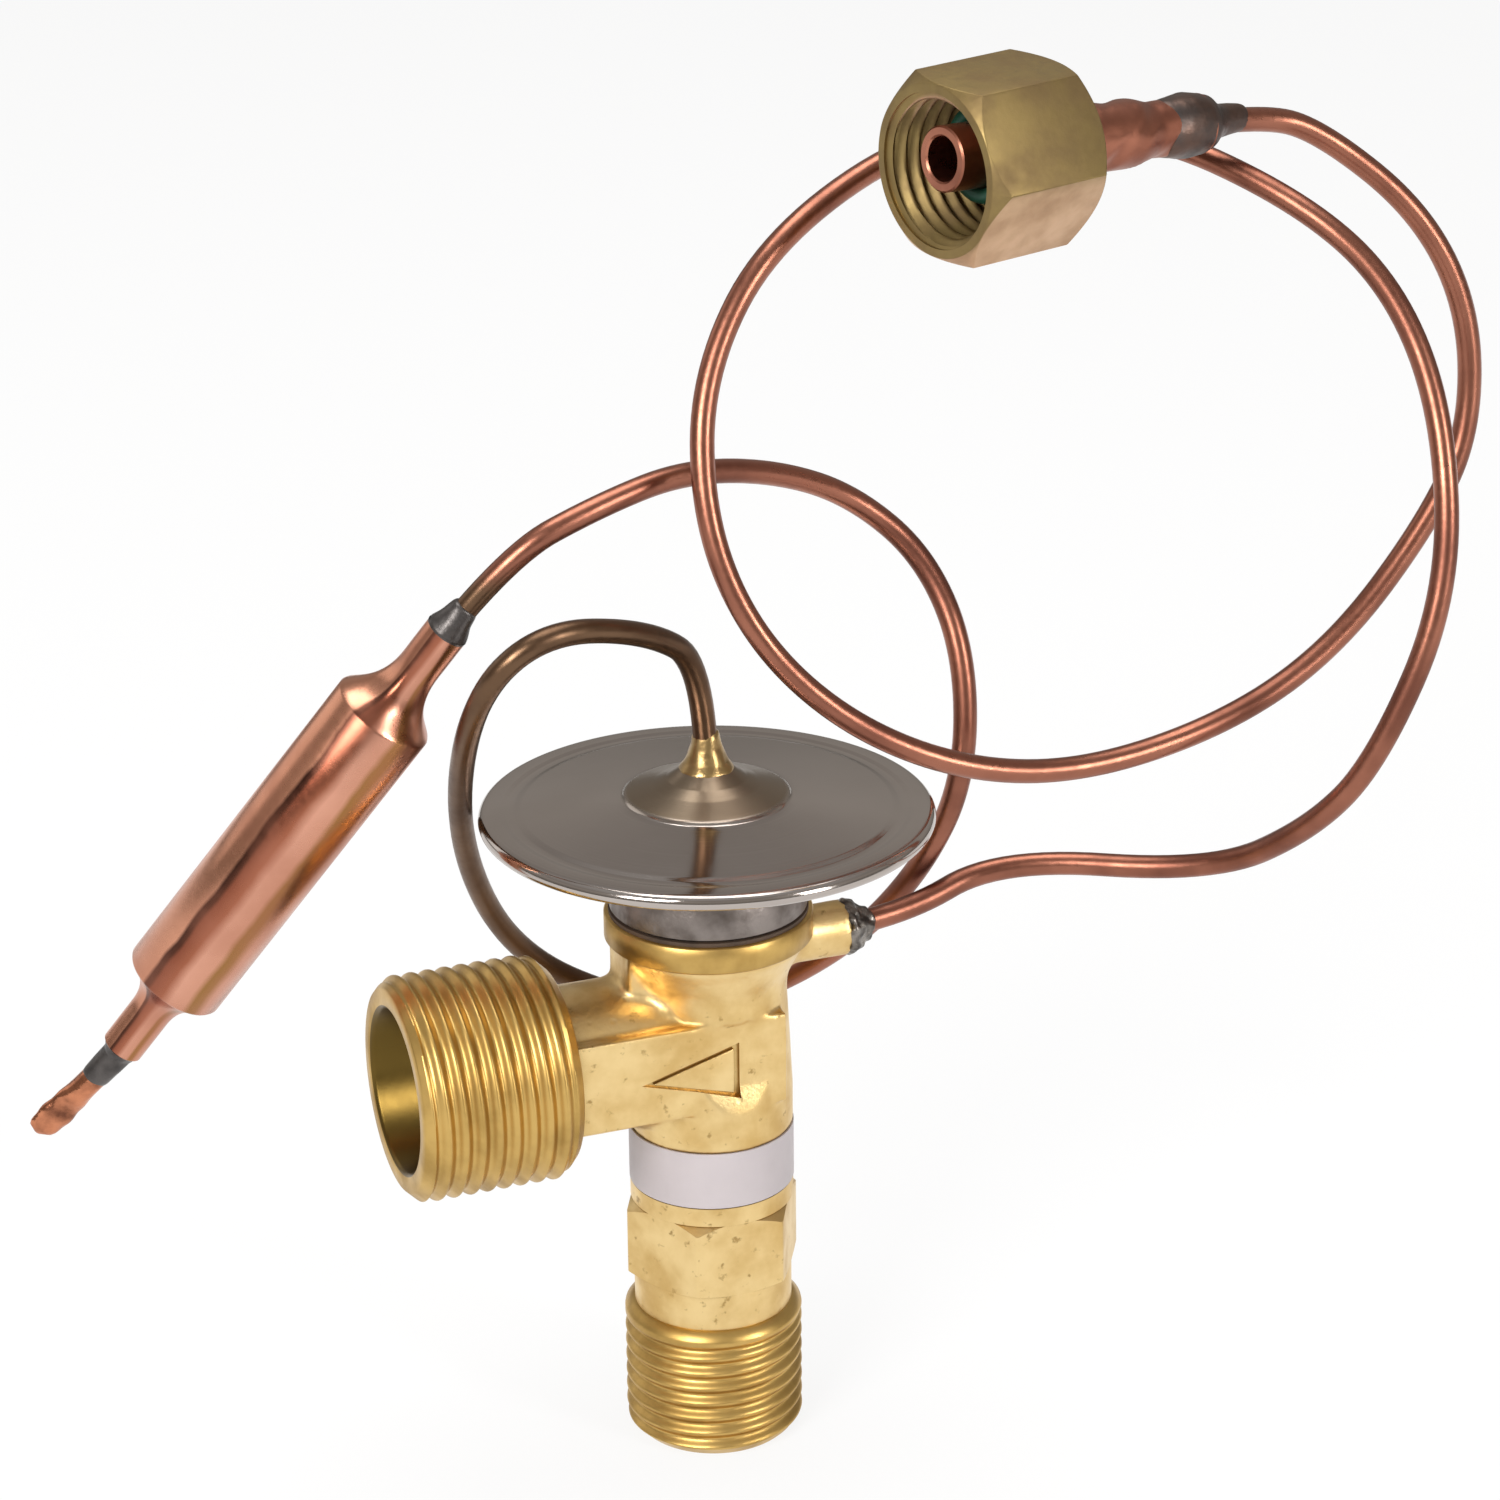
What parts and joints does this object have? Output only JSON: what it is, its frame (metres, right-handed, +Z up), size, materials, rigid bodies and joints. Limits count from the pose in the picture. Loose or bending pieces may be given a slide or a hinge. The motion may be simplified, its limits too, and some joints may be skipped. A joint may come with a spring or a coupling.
{
  "type": "thermostatic expansion valve",
  "caption": "Brass angle expansion valve with a steel diaphragm head, a sensing bulb on a capillary tube and an equaliser line with a union nut.",
  "frame": {"origin": "centre of the inlet's end face, at the foot of the stem", "axes": "+Z up the stem to the diaphragm head, outlet along -X, equaliser boss along +X"},
  "size_m": [0.1274, 0.0457, 0.1241],
  "materials": {
    "body_brass": "tumbled satin",
    "band_paint": "matt",
    "inner_brass": "turned",
    "steel": "brushed",
    "spring_steel": "drawn wire",
    "black_gasket": "matt",
    "green_seal": "matt",
    "nipple_brass": "brazed",
    "tube_copper": "aged",
    "bulb_copper": "bright",
    "solder": "dull",
    "nut_brass": "machined"
  },
  "bodies": {
    "valve_block": {"valve_body": "body_brass", "colour_band": "band_paint", "orifice_insert": "inner_brass", "rod_seal": "black_gasket", "gland_bush": "inner_brass", "superheat_spring": "spring_steel", "inlet_strainer": "steel", "strainer_ring": "spring_steel", "head_gasket": "black_gasket", "head_neck": "steel", "lower_cover": "steel", "diaphragm": "spring_steel", "upper_cover": "steel", "head_nipple": "nipple_brass", "sensing_tube": "tube_copper", "bulb_shell": "bulb_copper", "bulb_solder": "solder", "charging_tube": "tube_copper", "charging_solder": "solder", "equaliser_tube": "tube_copper", "boss_solder": "solder", "fitting_tube": "tube_copper", "fitting_seal": "green_seal", "fitting_solder": "solder"},
    "needle": {"push_rod": "steel", "valve_ball": "steel", "ball_carrier": "inner_brass", "buffer_plate": "steel"},
    "spring_rest": {"spring_seat": "inner_brass"},
    "adjuster": {"adjusting_nut": "inner_brass"},
    "union_nut": {"flare_nut": "nut_brass"}
  },
  "joints": [
    {"name": "needle_lift", "type": "slide", "parent": "valve_block", "child": "needle", "axis": [0, 0, -1], "range_m": [0, 0.0008], "stiffness_N_per_m": 4000, "springref_m": -0.002, "deforming": ["superheat_spring", "diaphragm"]},
    {"name": "adjuster_travel", "type": "slide", "parent": "valve_block", "child": "spring_rest", "axis": [0, 0, 1], "range_m": [-0.001, 0.002], "deforming": ["superheat_spring"]},
    {"name": "adjuster_turn", "type": "hinge", "parent": "spring_rest", "child": "adjuster", "pos_m": [0, 0, 0.013], "axis": [0, 0, 1], "range_deg": [-360.5, 720.5]},
    {"name": "nut_spin", "type": "hinge", "parent": "valve_block", "child": "union_nut", "pos_m": [0.0162, -0.0106, 0.1163], "axis": [0.9585, 0.2839, 0.0262], "continuous": true}
  ],
  "couplings": [
    {"joint": "adjuster_turn", "follows": "adjuster_travel", "rad_per_m": 6283.2}
  ]
}
